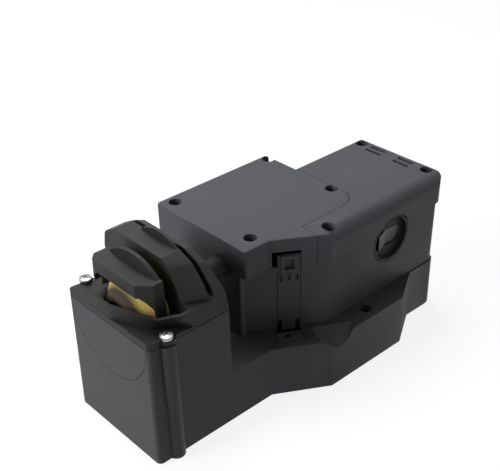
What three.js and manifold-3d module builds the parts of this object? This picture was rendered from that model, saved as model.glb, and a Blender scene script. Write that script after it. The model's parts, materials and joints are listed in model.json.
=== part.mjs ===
// Electric knife sharpener: a grinding head in a tower, a platform and a motor housing, in millimetres.
// X runs from the end face of the tower to the motor, Y away from the user, Z up from the table.
import * as THREE from 'three';
import { mergeVertices } from 'three/addons/utils/BufferGeometryUtils.js';
import Module from 'manifold-3d';

const wasm = await Module();
wasm.setup();

// General sizes
const clearance = 0.3;          // between pieces that touch
const halfClearance = clearance / 2;
const wall = 2.5;               // wall of the mouldings
const overrun = 2;              // how far a cutter passes the face that it cuts
const leanShare = 0.0175;       // draft of the tower and the platform, a share of the height
const roundSteps = 36;          // sides of a large round
const smallSteps = 16;          // sides of a small round
const cornerSteps = 4;          // sides of a rounded corner
const weldTolerance = 1e-4;

// Heights
const rimZ = 1;                 // lower rim of the base
const platformZ = 34.5;         // top of the platform
const partZ = 78;               // parting plane of the mouldings and height of the wheel shaft
const shelfRise = 4.6;          // screw shelves of the head cap over the parting plane, at the end face
const shelfEndRise = 1.4;       // the same shelves where they end
const blockRise = 12;           // top of the raised block round the openings
const guardRise = 27;           // flat top of the inner guard
const humpRise = 34;            // flat top of the outer hump
const coverRise = 18.45;        // top of the motor and middle covers
const shelfZ = partZ + shelfRise;
const shelfEndZ = partZ + shelfEndRise;
const blockZ = partZ + blockRise;
const guardZ = partZ + guardRise;
const humpZ = partZ + humpRise;
const coverZ = partZ + coverRise;

// Sizes along the tower, from its end face to the right
const guardStart = 10;          // left face of the inner guard
const guardWidth = 13.5;
const guardSlot = 6;            // slot between the guard and the hump
const humpWidth = 12.5;         // outer hump, up to the outer slot
const slotWidth = 3;            // outer slot
const sideWidth = 10.2;         // wall beyond the outer slot
const guardEnd = guardStart + guardWidth;
const humpStart = guardEnd + guardSlot;
const humpEnd = humpStart + humpWidth;
const towerLength = humpEnd + slotWidth + sideWidth;
const towerHalfWidth = 37.7;
const towerCorner = 3;

// Sizes along the drive, from the tower to the right
const channelWidth = 25.8;      // between the tower and the drive housing
const driveStart = towerLength + channelWidth;
const pulleyInset = 19;         // from the left face of the drive housing
const pulleyWidth = 8;
const beltRoom = 48;            // between the pulleys and the stator
const statorLength = 40;
const rearRoom = 36.6;          // between the stator and the end of the motor box
const pulleyStart = driveStart + pulleyInset;
const statorStart = pulleyStart + pulleyWidth + beltRoom;
const overallLength = statorStart + statorLength + rearRoom;
const middleLength = 89.5;      // length of the middle box, up to the seam of the covers
const middleEnd = driveStart + middleLength;
const nicheLength = 47.2;       // from the left face of the drive housing to the end of the niche wall
const nicheEndX = driveStart + nicheLength;

// Plan sizes of the platform and the housings
const apronReach = 19.1;        // how far the platform stands out in front
const apronInset = 4;           // from the drive housing's left face to where the platform starts to widen
const apronBend = driveStart + apronInset;
const apronRun = 32;            // length of the slanted stretches
const apronFlat = 63;           // length of the straight stretch
const middleFarY = 57;          // far side of the middle box
const skirtStep = 0.8;          // how far the covers stand out past the drive housing

// Screw columns of the tower
const columnX = 13.2;
const columnInset = 1.7;        // from the tower's side to the middle of a column
const columnY = towerHalfWidth - columnInset;
const columnRadius = 5.2;

// Head cap
const capWall = 1.9;            // end wall of the opening
const blockNearY = 2;           // flush stretch of the raised block, near side
const blockFarY = 14;            // and on the far side, where the wall ends
const blockBatter = 1.5;        // how far the foot stands out at the end face
const blockTwistSteps = 4;      // stretches of the twisted part of the slanted walls
// Bends and ends of the slanted walls: share of the hump's place along X, share of the half width along Y
const blockFootShares = { nearBend: [0.492, 0.676], farBend: [0.492, 0.756], end: 1.085 };
const blockTopShares = { nearBend: [0.407, 0.809], farBend: [0.407, 0.849], end: 0.814 };
const humpWall = 1.6;
const ribRadius = 26.3;         // outer rib
const ribRise = 5;              // crown of the outer rib over the hump's top
const ribThickness = 1.6;
const ribY = 2;
const ribZ = humpZ + ribRise - ribRadius;
const humpNearY = 14;           // near end of the hump's flat top
const humpFarY = 27;            // far end of the flat top
// Corners of the hump's slopes: shares of the half width along Y and of the hump's rise over the shelf, in turn
const humpNearShares = [0.764, 0.252, 0.544, 0.871];  // near side of its left face
const sideNearShares = [0.958, 0.456, 0.663, 0.857];  // near side of its right face
const humpFarShares = [0.963, 0.837, 1.013, 0.49];    // far side of both faces
const blockEndY = blockFarY + capWall;  // past it the shelf is flat up to the hump
const slotSill = 2;             // lowest point of the outer slot over the block
const slotFloorZ = blockZ + slotSill;
const sideLean = 6;             // how far the wall beyond the outer slot leans back at its top
const sideDrop = 5;             // how far it ends below the hump
const chamberWall = 4.1;        // wall of the wheel chamber
const chamberHalfWidth = towerHalfWidth - chamberWall;
const chamberDepth = 35.5;      // below the shaft
const chamberFloorZ = partZ - chamberDepth;

// Inner guard over the fine wheel
const guardNearShare = 0.605;   // places of its end walls, shares of the tower's half width
const guardFarShare = 0.637;
const guardNearY = guardNearShare * towerHalfWidth;
const guardFarY = guardFarShare * towerHalfWidth;
const guardLean = 1.5;          // how far its end walls stand out at their feet
const guardChamfer = 7;
const guardRibRadius = 32;
const guardRibRise = 7.5;       // crown of its rib over its flat top
const guardRibThickness = 2.2;
const guardWall = 1.2;
const guardSkirt = 7.6;         // height of its left wall
const guardArch = 2.2;          // how far the arch under the guard's slanted corner passes its far wall

// Wheels and their shaft
const shaftRadius = 4;
const shaftEndRadius = 3;
const shaftStart = 4.4;
const wheelBore = shaftRadius + clearance;
const fineLead = 0.8;           // how far the fine wheel starts before the guard
const fineTail = 3.7;           // how far it ends beyond the guard
const fineRimWidth = 7.4;
const fineHeadroom = 4;         // from its rim to the guard's flat top
const fineSideroom = 0.2;       // how far its rim passes the guard's near end wall
const fineSlope = 11;           // how far its cone drops from the rim to the face
const fineHubRadius = 9;
const coarseHeadroom = 5;       // from the coarse wheel's rim to the hump's top
const coarseSideroom = 4.6;     // from its rim to the chamber's side
const coarseSlope = 8;
const coarseRimWidth = 4;
const wheelBevel = 1;
const fineStart = guardStart - fineLead;
const fineEnd = guardEnd + fineTail;
const fineRimStart = fineEnd - fineRimWidth;
const fineRimEnd = fineEnd - wheelBevel;
const fineRadius = Math.min(guardRise - fineHeadroom, guardNearY + fineSideroom);
const fineFaceRadius = fineRadius - fineSlope;
const guardArchRadius = guardFarY + guardArch;
const coarseEnd = humpEnd - clearance;
const coarseRadius = Math.min(humpRise - coarseHeadroom, chamberHalfWidth - coarseSideroom);
const coarseFaceRadius = coarseRadius - coarseSlope;
const spacerRadius = 7;
const nutHalfWidth = 6.2;
const nutThickness = 4;
const hubDish = 1.6;            // depth of the hollow round each wheel's bore

// Bearings
const bearingRadius = 8;
const bearingWidth = 6;
const endBearingRadius = 6;
const endBearingWidth = 2.8;
const bossWall = 2.8;
const endBossWall = 1.2;

// End cover, a half disc in the end face
const endCoverRadius = chamberHalfWidth - clearance;
const endFlange = 1.1;
const endFlangeReach = 0.2;

// Motor and belt drive
const motorY = -2;
const motorDrop = 34;           // below the wheel shaft
const motorZ = partZ - motorDrop;
const motorRadius = 25;
const motorRoom = 6.2;          // from the motor to the far side of its box
const switchRoom = 14.7;        // from the motor to the near side of its box, for the switch
const motorFarY = motorY + motorRadius + motorRoom;
const motorNearY = motorRadius - motorY + switchRoom;
const motorShaftRadius = 4;
const statorRing = 9.5;         // thickness of the stator's ring
const airGap = 0.7;
const statorBore = motorRadius - statorRing;
const rotorRadius = statorBore - airGap;
const bellLength = 17;
const bellWall = 3;
const motorPulleyRadius = 9;
const wheelPulleyRadius = 12;
const pulleyFlange = 1;
const pulleyLip = 2.4;
const beltThickness = 1.4;
const fanInset = 4;             // fan's blades inside the motor's outline
const fanRadius = motorRadius - fanInset;
const fanHubRadius = 8;
const fanWidth = 8;
const fanBlades = 7;
const fanBladeThickness = 1.6;
const saddleThickness = 6;
const saddleHalfWidth = 17;
const saddleInset = 8;
const capacitorRadius = 11;
const capacitorInset = 17;      // from the drive housing's left face
const capacitorGap = 6;         // from the inlet
const clipThickness = 1.5;
const clipWidth = 8;

// Bottom plate, feet and screws
const plateThickness = 3;
const footRadius = 6.5;
const footHeight = 2.2;
const footPocket = 1.5;
const footInset = 12;
const bossRadius = 5.4;
const plateScrewInset = 11.7;   // of the plate's screws under the tower
const pilotRadius = 1.8;
const screwRadius = 1.5;
const screwHeadRadius = 3.3;
const screwHeadHeight = 2.4;
const panHeadRadius = 3.6;
const panHeadHeight = 2.2;
const screwSeatDrop = 0.8;      // seats of the pan screws below the shelves
const screwSeatZ = shelfZ - screwSeatDrop;
const recessRadius = 4.1;
const recessFloor = 4.5;        // height of the screw seats over the parting plane
const screwGrip = 12;           // length of thread below the seat

// Covers
const coverEdge = 1.5;
const nearEdgeRadius = 8;
const boxCorner = 8;
const smallCorner = 2;
const seamCurve = 14;
const seamY = -24;
const seamLength = 41;          // from the drive housing's left face to the seam's short stretch
const seamX = driveStart + seamLength;
const ventLength = 12.2;
const ventWidth = 2.4;
const ventPitch = 5.2;
const ventInset = 10;           // from the end of the motor box to the first pair of vents
const ventSpread = 11.3;        // from the middle of the box to the middle of a vent

// Niche with the release latch
const postWidth = 3.8;
const postY = -16.2;
const postStep = 2.3;
const nicheEndInset = 1.4;      // from the motor box's near side to the end of the niche wall
const nicheEndY = nicheEndInset - motorNearY;
const coverLipY = -22;
const latchStart = 20.4;        // along the niche wall, from its left end
const latchWidth = 14;
const latchFootRise = 5.5;      // foot of the lever over the platform
const latchTopRise = 7;         // its top over the parting plane
const latchPivotDrop = 18;      // its pin below the parting plane
const latchFootZ = platformZ + latchFootRise;
const latchTopZ = partZ + latchTopRise;
const latchPivotZ = partZ - latchPivotDrop;
const latchPivotDepth = 6;
const latchPinRadius = 1.4;
const latchEarWidth = 2.4;
const latchEarReach = 3.4;
const latchThickness = 2.4;
const latchHookThickness = 2;
const latchHookInset = 2.5;
const latchWindowRise = 3;      // window in the cover over the lever's top
const latchWindowZ = latchTopZ + latchWindowRise;
const catchWidth = 9.6;
const catchHeight = 11;
const catchRim = 1.9;
const catchRelief = 1.1;
const tickWidth = 1.7;
const tickHeight = 4.4;
const tickDrop = 10;            // the small slots below the parting plane
const tickZ = partZ - tickDrop;
const tickDepth = 1.3;
const sideWindow = 3;
const keeperReach = 14;
const keeperDepth = 3.7;
const keeperNotch = 4;

// Dish in the platform's front edge
const dishDrop = 9.4;
const dishShare = 0.12;         // place of the dish's lowest corner along the straight stretch
const dishEndShare = 0.36;      // place of its far right corner
const dishWallReach = 19;       // depth of the dish's inner corner behind the straight stretch
const dishRightReach = 6;
const dishBody = 18;

// Power switch
const switchReach = 13.5;       // from the end of the middle box
const switchDrop = 8.5;         // below the parting plane
const switchX = middleEnd + switchReach;
const switchZ = partZ - switchDrop;
const switchRadius = 16;
const switchRim = 1.5;
const switchDepth = 5.6;
const switchFloor = 2;
const switchFlange = 2.2;
const rockerLength = 21;
const rockerHeight = 11;
const rockerDrop = 1;           // how far the rocker lies below the recess's middle
const rockerTilt = 7 * Math.PI / 180;
const rockerPivotDepth = 3;
const switchBodyDepth = 7;

// Inlet for the power lead, in the far wall of the middle box
const inletInset = 20.5;        // from the end of the middle box
const inletRise = 17.5;         // over the platform
const inletX = middleEnd - inletInset;
const inletZ = platformZ + inletRise;
const inletWidth = 20;
const inletHeight = 14;
const inletDepth = 14;
const inletFlange = 2;
const inletWall = 1.6;
const inletPinRadius = 1.2;
const inletPinSpacing = 8;

// Geometry helpers

function solid(geometry) {
  geometry.deleteAttribute('normal');
  geometry.deleteAttribute('uv');
  const merged = mergeVertices(geometry, weldTolerance);
  const index = merged.index ? merged.index.array : merged.attributes.position.array.keys();
  return new wasm.Manifold(new wasm.Mesh({
    numProp: 3,
    vertProperties: new Float32Array(merged.attributes.position.array),
    triVerts: new Uint32Array(index),
  }));
}

function geometryOf(body) {
  const mesh = body.getMesh();
  const geometry = new THREE.BufferGeometry();
  geometry.setAttribute('position', new THREE.BufferAttribute(mesh.vertProperties, 3));
  geometry.setIndex(new THREE.BufferAttribute(mesh.triVerts, 1));
  geometry.computeVertexNormals();
  return geometry;
}

function extrusion(points, depth) {
  const shape = new THREE.Shape(points.map(([x, y]) => new THREE.Vector2(x, y)));
  return new THREE.ExtrudeGeometry(shape, { depth, bevelEnabled: false });
}

// A prism along Z, with its outline as [x, y] points
function prismZ(points, low, high) {
  return extrusion(points, high - low).translate(0, 0, low);
}

// A prism along X, with its outline as [y, z] points
function prismX(points, low, high) {
  const turn = new THREE.Matrix4().makeBasis(
    new THREE.Vector3(0, 1, 0), new THREE.Vector3(0, 0, 1), new THREE.Vector3(1, 0, 0));
  return extrusion(points, high - low).translate(0, 0, low).applyMatrix4(turn);
}

// A prism along Y, with its outline as [x, z] points
function prismY(points, low, high) {
  const turn = new THREE.Matrix4().makeBasis(
    new THREE.Vector3(1, 0, 0), new THREE.Vector3(0, 0, 1), new THREE.Vector3(0, -1, 0));
  return extrusion(points, high - low).translate(0, 0, -high).applyMatrix4(turn);
}

function block(x0, x1, y0, y1, z0, z1) {
  return new THREE.BoxGeometry(x1 - x0, y1 - y0, z1 - z0)
    .translate((x0 + x1) / 2, (y0 + y1) / 2, (z0 + z1) / 2);
}

function circle(a, b, radius, steps = roundSteps) {
  const points = [];
  for (let i = 0; i < steps; i += 1) {
    const angle = (i / steps) * 2 * Math.PI;
    points.push([a + radius * Math.cos(angle), b + radius * Math.sin(angle)]);
  }
  return points;
}

function arc(a, b, radius, from, to, steps) {
  const points = [];
  for (let i = 0; i <= steps; i += 1) {
    const angle = from + (to - from) * (i / steps);
    points.push([a + radius * Math.cos(angle), b + radius * Math.sin(angle)]);
  }
  return points;
}

const discX = (y, z, r, low, high, steps) => solid(prismX(circle(y, z, r, steps), low, high));
const discY = (x, z, r, low, high, steps) => solid(prismY(circle(x, z, r, steps), low, high));
const discZ = (x, y, r, low, high, steps = smallSteps) => solid(prismZ(circle(x, y, r, steps), low, high));
const box = (...sides) => solid(block(...sides));

// A round body about a line along X, with its section as [x, radius] points that close on themselves
function turnedX(section, y, z, steps = roundSteps) {
  const points = section.map(([x, r]) => new THREE.Vector2(r, x));
  const turn = new THREE.Matrix4().makeBasis(
    new THREE.Vector3(0, 0, 1), new THREE.Vector3(1, 0, 0), new THREE.Vector3(0, 1, 0));
  return solid(new THREE.LatheGeometry(points, steps).applyMatrix4(turn).translate(0, y, z));
}

// A round body about a line along Z, with its section as [z, radius] points from axis to axis
function turnedZ(section, x, y, steps = smallSteps) {
  const points = section.map(([z, r]) => new THREE.Vector2(r, z));
  return solid(new THREE.LatheGeometry(points, steps).rotateX(Math.PI / 2).translate(x, y, 0));
}

// An outline moved inwards by a distance; its corners run anticlockwise as [x, y, radius]
function inset(corners, distance) {
  const count = corners.length;
  const moved = [];
  for (let i = 0; i < count; i += 1) {
    const [px, py] = corners[(i + count - 1) % count];
    const [x, y, radius] = corners[i];
    const [nx, ny] = corners[(i + 1) % count];
    const before = new THREE.Vector2(x - px, y - py).normalize();
    const after = new THREE.Vector2(nx - x, ny - y).normalize();
    const turn = before.cross(after);
    const half = 1 + before.dot(after);
    const shift = distance / half;
    const mx = x + shift * (-before.y - after.y);
    const my = y + shift * (before.x + after.x);
    const rounder = turn > 0 ? Math.max(radius - distance, 0) : radius + (radius > 0 ? distance : 0);
    moved.push([mx, my, rounder]);
  }
  return moved;
}

// The points of an outline with its corners rounded
function rounded(corners) {
  const count = corners.length;
  const points = [];
  for (let i = 0; i < count; i += 1) {
    const [px, py] = corners[(i + count - 1) % count];
    const [x, y, radius] = corners[i];
    const [nx, ny] = corners[(i + 1) % count];
    if (!(radius > 0)) {
      points.push([x, y]);
      continue;
    }
    const back = new THREE.Vector2(px - x, py - y).normalize();
    const on = new THREE.Vector2(nx - x, ny - y).normalize();
    const half = Math.acos(THREE.MathUtils.clamp(back.dot(on), -1, 1)) / 2;
    const reach = radius / Math.tan(half);
    const middle = back.clone().add(on).normalize().multiplyScalar(radius / Math.sin(half));
    const start = Math.atan2(back.y * reach - middle.y, back.x * reach - middle.x);
    const end = Math.atan2(on.y * reach - middle.y, on.x * reach - middle.x);
    const sweep = Math.atan2(Math.sin(end - start), Math.cos(end - start));
    points.push(...arc(x + middle.x, y + middle.y, radius, start, start + sweep, cornerSteps));
  }
  return points;
}

// Moves a point of the base or the cap inwards with its height
function leaning(geometry) {
  const place = geometry.attributes.position;
  for (let i = 0; i < place.count; i += 1) {
    const x = place.getX(i);
    const y = place.getY(i);
    const rise = leanShare * place.getZ(i);
    place.setX(i, x + rise * Math.max(1 - x / towerLength, 0));
    place.setY(i, y * (1 - rise / towerHalfWidth));
  }
  return geometry;
}

// A closed body between two [y, z] outlines with as many points, at two places along X
function loftX(first, x0, second, x1) {
  const count = first.length;
  const places = [];
  first.forEach(([y, z]) => places.push(x0, y, z));
  second.forEach(([y, z]) => places.push(x1, y, z));
  const faces = [];
  const cap = (points) => THREE.ShapeUtils.triangulateShape(
    points.map(([y, z]) => new THREE.Vector2(y, z)), []);
  cap(first).forEach(([a, b, c]) => faces.push(a, c, b));
  cap(second).forEach(([a, b, c]) => faces.push(count + a, count + b, count + c));
  for (let i = 0; i < count; i += 1) {
    const next = (i + 1) % count;
    faces.push(i, next, count + next, i, count + next, count + i);
  }
  const geometry = new THREE.BufferGeometry();
  geometry.setAttribute('position', new THREE.BufferAttribute(new Float32Array(places), 3));
  geometry.setIndex(faces);
  return solid(geometry);
}

// A closed body between two [x, y] outlines with as many points, at two heights
function loftZ(first, low, second, high) {
  const turn = new THREE.Matrix4().makeBasis(
    new THREE.Vector3(0, 0, 1), new THREE.Vector3(1, 0, 0), new THREE.Vector3(0, 1, 0));
  return solid(geometryOf(loftX(first, low, second, high)).applyMatrix4(turn));
}

// A three-sided prism along Z whose lower end slants through three [x, y, z] corners
function wedge(corners, high) {
  const places = [];
  corners.forEach(([x, y, z]) => places.push(x, y, z));
  corners.forEach(([x, y]) => places.push(x, y, high));
  const geometry = new THREE.BufferGeometry();
  geometry.setAttribute('position', new THREE.BufferAttribute(new Float32Array(places), 3));
  geometry.setIndex([0, 2, 1, 3, 4, 5, 0, 1, 4, 0, 4, 3, 1, 2, 5, 1, 5, 4, 2, 0, 3, 2, 3, 5]);
  return solid(geometry);
}

// Outlines

const apronY = towerHalfWidth + apronReach;
const apronFlatStart = apronBend + apronRun;
const apronFlatEnd = apronFlatStart + apronFlat;
const lowerEnd = overallLength - skirtStep;
const lowerNearY = nicheEndY;
const lowerFarY = middleFarY - skirtStep;
const lowerMotorFarY = motorFarY - skirtStep;
const lowerMiddleEnd = middleEnd - skirtStep;
const farBend = driveStart - (middleFarY - towerHalfWidth);
const rearBend = apronFlatEnd + apronRun * (apronY - motorNearY) / apronReach;

const platformCorners = [
  [0, -towerHalfWidth, towerCorner],
  [apronBend, -towerHalfWidth, 0],
  [apronFlatStart, -apronY, 0],
  [apronFlatEnd, -apronY, 0],
  [rearBend, -motorNearY, 0],
  [overallLength, -motorNearY, boxCorner],
  [overallLength, motorFarY, smallCorner],
  [middleEnd, motorFarY, 0],
  [middleEnd, middleFarY, smallCorner],
  [driveStart, middleFarY, 0],
  [farBend, towerHalfWidth, 0],
  [0, towerHalfWidth, towerCorner],
];

const towerCorners = [
  [0, -towerHalfWidth, towerCorner],
  [towerLength, -towerHalfWidth, 0],
  [towerLength, towerHalfWidth, 0],
  [0, towerHalfWidth, towerCorner],
];

const driveCorners = [
  [driveStart, postY, smallCorner],
  [driveStart + postWidth, postY, 0],
  [driveStart + postWidth, postY + postStep, 0],
  [nicheEndX, nicheEndY, 0],
  [lowerEnd, lowerNearY, boxCorner],
  [lowerEnd, lowerMotorFarY, smallCorner],
  [lowerMiddleEnd, lowerMotorFarY, 0],
  [lowerMiddleEnd, lowerFarY, smallCorner],
  [driveStart, lowerFarY, smallCorner],
];

// The niche wall's direction, from its left end at the post
const niche = new THREE.Vector2(nicheEndX - driveStart - postWidth, nicheEndY - postY - postStep);
const nicheAngle = niche.angle();
const nicheSlope = niche.y / niche.x;
const nicheY = (x) => nicheEndY + nicheSlope * (x - nicheEndX);
const driveInside = [[driveStart, nicheY(driveStart), 0], ...driveCorners.slice(3)];
const lipEndX = nicheEndX + (coverLipY - nicheEndY) / nicheSlope;

const coverCorners = [
  [driveStart - skirtStep, coverLipY, smallCorner],
  [lipEndX, coverLipY, 0],
  [nicheEndX, nicheEndY - skirtStep, 0],
  [nicheEndX + skirtStep, -motorNearY, 0],
  [overallLength, -motorNearY, boxCorner],
  [overallLength, motorFarY, smallCorner],
  [middleEnd, motorFarY, 0],
  [middleEnd, middleFarY, smallCorner],
  [driveStart - skirtStep, middleFarY, smallCorner],
];

// Puts a body that is built along the niche wall in its place: x along the wall, y inwards from it
function inNiche(geometry) {
  return solid(geometry.rotateZ(nicheAngle)
    .translate(driveStart + postWidth, postY + postStep, 0));
}

const nicheBox = (...sides) => inNiche(block(...sides));

// Screw places as [x, y]
const farScrewY = middleFarY - wall - columnRadius;
const middleScrews = [
  [driveStart + wall + columnRadius, farScrewY],
  [middleEnd - columnRadius + overrun, farScrewY + overrun],
  [middleEnd - columnRadius + overrun, seamY + seamCurve + bossRadius],
  [driveStart + seamCurve - overrun, postY + postWidth],
];
const motorInset = recessRadius + halfClearance + smallCorner / 2;
const motorScrews = [
  [overallLength - motorInset, motorFarY - motorInset],
  [overallLength - motorInset, -motorNearY + nearEdgeRadius + recessRadius],
  [nicheEndX + columnRadius, -motorNearY + wall + columnRadius],
];
const plateScrews = [
  [columnX, -towerHalfWidth + plateScrewInset],
  [columnX, towerHalfWidth - plateScrewInset],
  [apronFlatEnd, -towerHalfWidth - bossRadius],
  [overallLength - boxCorner - wall, motorFarY - bossRadius - wall / 2],
  [driveStart + bossRadius + wall, middleFarY - bossRadius - 2 * wall],
];
const platformScrew = [apronFlatStart + apronRun + apronReach / 3, -apronY + apronReach / 2];
const feet = [
  [2 * footInset + footRadius, -towerHalfWidth + footInset],
  [2 * footInset + footRadius, towerHalfWidth - footInset],
  [overallLength - footInset - footRadius, -towerHalfWidth + footInset],
  [middleEnd - footInset - footRadius, middleFarY - footInset],
];

// Materials

function material(name, color, roughness, metalness) {
  return new THREE.MeshStandardMaterial({ name, color, roughness, metalness });
}

const blackPlastic = material('black_plastic', 0x3a3b3e, 0.6, 0);
const innerPlastic = material('inner_plastic', 0x2a2b2d, 0.65, 0);
const zincSteel = material('zinc_steel', 0xc9c8c4, 0.35, 1);
const blackSteel = material('black_steel', 0x26272a, 0.5, 0.8);
const abrasive = material('abrasive', 0xcdb866, 0.85, 0);
const coarseAbrasive = material('coarse_abrasive', 0xa9985c, 0.9, 0);
const bearingSteel = material('bearing_steel', 0xb4b6b8, 0.3, 1);
const aluminium = material('aluminium', 0x9ea1a3, 0.4, 1);
const laminated = material('laminated_steel', 0x6e7072, 0.5, 1);
const rubber = material('rubber', 0x1d1d1e, 0.9, 0);
const gloss = material('gloss_plastic', 0x1b1b1d, 0.25, 0);

const sharpener = new THREE.Group();
sharpener.name = 'electric_knife_sharpener';
const farthestY = Math.max(middleFarY, towerHalfWidth);
sharpener.position.set(-overallLength / 2, (apronY - farthestY) / 2, 0);

function addPiece(name, body, look) {
  const mesh = new THREE.Mesh(geometryOf(body), look);
  mesh.name = name;
  sharpener.add(mesh);
}

// Base: the tower's lower part and the platform in one moulding

function screwColumns(low, high) {
  const near = solid(leaning(prismZ(circle(columnX, -columnY, columnRadius, smallSteps), low, high)));
  const far = solid(leaning(prismZ(circle(columnX, columnY, columnRadius, smallSteps), low, high)));
  return near.add(far);
}

function towerHull(low, high) {
  return solid(leaning(prismZ(rounded(towerCorners), low, high))).add(screwColumns(low, high));
}

// The platform's dish: two slanted faces that meet at the lowest corner on the front edge
function dish() {
  const lowX = apronFlatStart + apronFlat * dishShare;
  const low = [lowX, -apronY - overrun, platformZ - dishDrop];
  const right = [apronFlatStart + apronFlat * dishEndShare, -apronY + dishRightReach, platformZ];
  const rightOut = [apronFlatStart + apronFlat * dishShare * 2, -apronY - overrun, platformZ];
  const inner = [apronFlatStart, -apronY + dishWallReach, platformZ];
  const left = [apronFlatStart - apronRun * dishShare * 2, -apronY + dishRightReach, platformZ];
  const leftOut = [apronFlatStart - apronRun * dishShare * 2, -apronY - overrun, platformZ];
  const high = platformZ + overrun;
  return wedge([low, inner, leftOut], high)
    .add(wedge([low, right, inner], high))
    .add(wedge([low, rightOut, right], high))
    .add(wedge([leftOut, inner, left], high));
}

function keeperPocket(extra) {
  return nicheBox(
    latchStart - wall - extra, latchStart + latchWidth + extra,
    -keeperReach - extra, -clearance, platformZ - keeperDepth - extra, platformZ + overrun);
}

function makeBase() {
  const top = partZ - halfClearance;
  const roof = platformZ - wall;
  let body = solid(leaning(prismZ(rounded(platformCorners), rimZ, platformZ)))
    .add(towerHull(rimZ, top));
  const towerRoof = chamberFloorZ - wall;
  const cavity = solid(prismZ(rounded(inset(platformCorners, wall)), rimZ - overrun, roof))
    .subtract(box(0, towerLength, -towerHalfWidth, towerHalfWidth, towerRoof,
      Math.max(roof, towerRoof) + overrun));
  const dishBlock = solid(prismZ(rounded(inset(platformCorners, wall)), platformZ - dishBody, roof))
    .intersect(box(apronFlatStart - apronRun, apronFlatStart + apronFlat / 2, -apronY, nicheY(apronFlatStart),
      platformZ - dishBody, roof));
  body = body.subtract(cavity.subtract(dishBlock));
  body = body.subtract(box(wall + leanShare * partZ, towerLength - wall, -chamberHalfWidth, chamberHalfWidth,
    rimZ - overrun, towerRoof));
  body = body.subtract(box(wall + leanShare * partZ, towerLength - wall, -chamberHalfWidth, chamberHalfWidth,
    chamberFloorZ, partZ));
  body = body.subtract(discX(0, partZ, endCoverRadius + clearance, -overrun, wall + overrun, roundSteps * 2));
  body = body.subtract(solid(prismZ(rounded(inset(driveInside, 2 * wall)), roof - overrun, platformZ + overrun)));
  const boss = discX(0, partZ, bearingRadius + bossWall, towerLength - wall - bearingWidth, towerLength - wall)
    .intersect(box(0, towerLength, -towerHalfWidth, towerHalfWidth, 0, top));
  body = body.add(boss);
  body = body.subtract(discX(0, partZ, bearingRadius + clearance,
    towerLength - wall - bearingWidth - overrun, towerLength - halfClearance - wall / 2));
  body = body.subtract(discX(0, partZ, shaftRadius + 2 * clearance, 0, towerLength + overrun));
  for (const side of [-1, 1]) {
    const post = discZ(columnX, side * columnY, columnRadius - clearance, towerRoof, top);
    body = body.add(post).subtract(discZ(columnX, side * columnY, pilotRadius, partZ - 2 * screwGrip, partZ));
  }
  for (const [x, y] of plateScrews) {
    const high = x < towerLength ? towerRoof : roof;
    body = body.add(discZ(x, y, bossRadius, rimZ + plateThickness + clearance, high + halfClearance));
    body = body.subtract(discZ(x, y, pilotRadius, rimZ, rimZ + plateThickness + screwGrip));
  }
  const [sx, sy] = platformScrew;
  body = body.add(discZ(sx, sy, recessRadius + wall, rimZ + plateThickness + clearance, roof + halfClearance));
  body = body.subtract(discZ(sx, sy, recessRadius, platformZ - dishBody, platformZ + overrun));
  body = body.subtract(discZ(sx, sy, pilotRadius, rimZ, platformZ));
  body = body.subtract(keeperPocket(0));
  body = body.subtract(nicheBox(latchStart, latchStart + latchWidth, -keeperNotch, wall + overrun,
    platformZ - keeperDepth, platformZ + overrun));
  return body.subtract(dish());
}

function makeBottomPlate() {
  let body = solid(prismZ(rounded(inset(platformCorners, wall + clearance)), rimZ, rimZ + plateThickness));
  for (const [x, y] of [...plateScrews, platformScrew]) {
    body = body.subtract(discZ(x, y, pilotRadius, 0, rimZ + plateThickness + overrun));
  }
  for (const [x, y] of plateScrews) {
    body = body.subtract(discZ(x, y, screwHeadRadius + clearance, 0, rimZ + plateThickness / 2));
  }
  for (const [x, y] of feet) {
    body = body.subtract(discZ(x, y, footRadius + clearance, 0, rimZ + footPocket));
  }
  return body;
}

// A screw that points down from its seat, with a round head over it
function screwDown(x, y, seat, headRadius, headHeight, length) {
  return turnedZ([
    [seat - length, 0],
    [seat - length + screwRadius, screwRadius],
    [seat, screwRadius],
    [seat, headRadius],
    [seat + headHeight / 2, headRadius],
    [seat + headHeight, headRadius / 2],
    [seat + headHeight, 0],
  ], x, y);
}

// A screw that points up from its seat, with its head below
function screwUp(x, y, seat, length) {
  return turnedZ([
    [seat - plateThickness / 2 + clearance, 0],
    [seat - plateThickness / 2 + clearance, screwHeadRadius],
    [seat - clearance, screwHeadRadius],
    [seat - clearance, screwRadius],
    [seat + length, screwRadius],
    [seat + length + screwRadius, 0],
  ], x, y);
}

// Head cap

// Turns shares of the half width and of the hump's rise into places
const humpPlaces = (shares) => shares.map((share, i) => (
  i % 2 ? shelfZ + share * (humpZ - shelfZ) : share * towerHalfWidth));

// An outline of the hump in the Y-Z plane, anticlockwise from the near foot
function humpOutline(nearShares, nearReach, top) {
  const [lowY, lowZ, highY, highZ] = humpPlaces(nearShares);
  const [farHighY, farHighZ, farLowY, farLowZ] = humpPlaces(humpFarShares);
  const drop = humpZ - top;
  const farReach = towerHalfWidth - leanShare * blockZ;
  return rounded([
    [-nearReach, partZ + halfClearance, 0], [-lowY, lowZ - drop, 2 * towerCorner],
    [-highY, highZ - drop, 2 * towerCorner], [-humpNearY, top, smallCorner], [humpFarY, top, towerCorner],
    [farHighY, farHighZ - drop, 2 * towerCorner], [farLowY, farLowZ - drop, towerCorner], [farReach, shelfZ, 0],
    [farReach, partZ + halfClearance, 0],
  ]).reverse();
}

// The space that the fine wheel needs, grown by a gap
function wheelSpace(gap) {
  return turnedX([
    [fineStart - gap, 0], [fineStart - gap, fineFaceRadius + gap], [fineRimStart, fineRadius + gap],
    [humpStart, fineRadius + gap], [humpStart, 0],
  ], 0, partZ, roundSteps + smallSteps);
}

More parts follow.
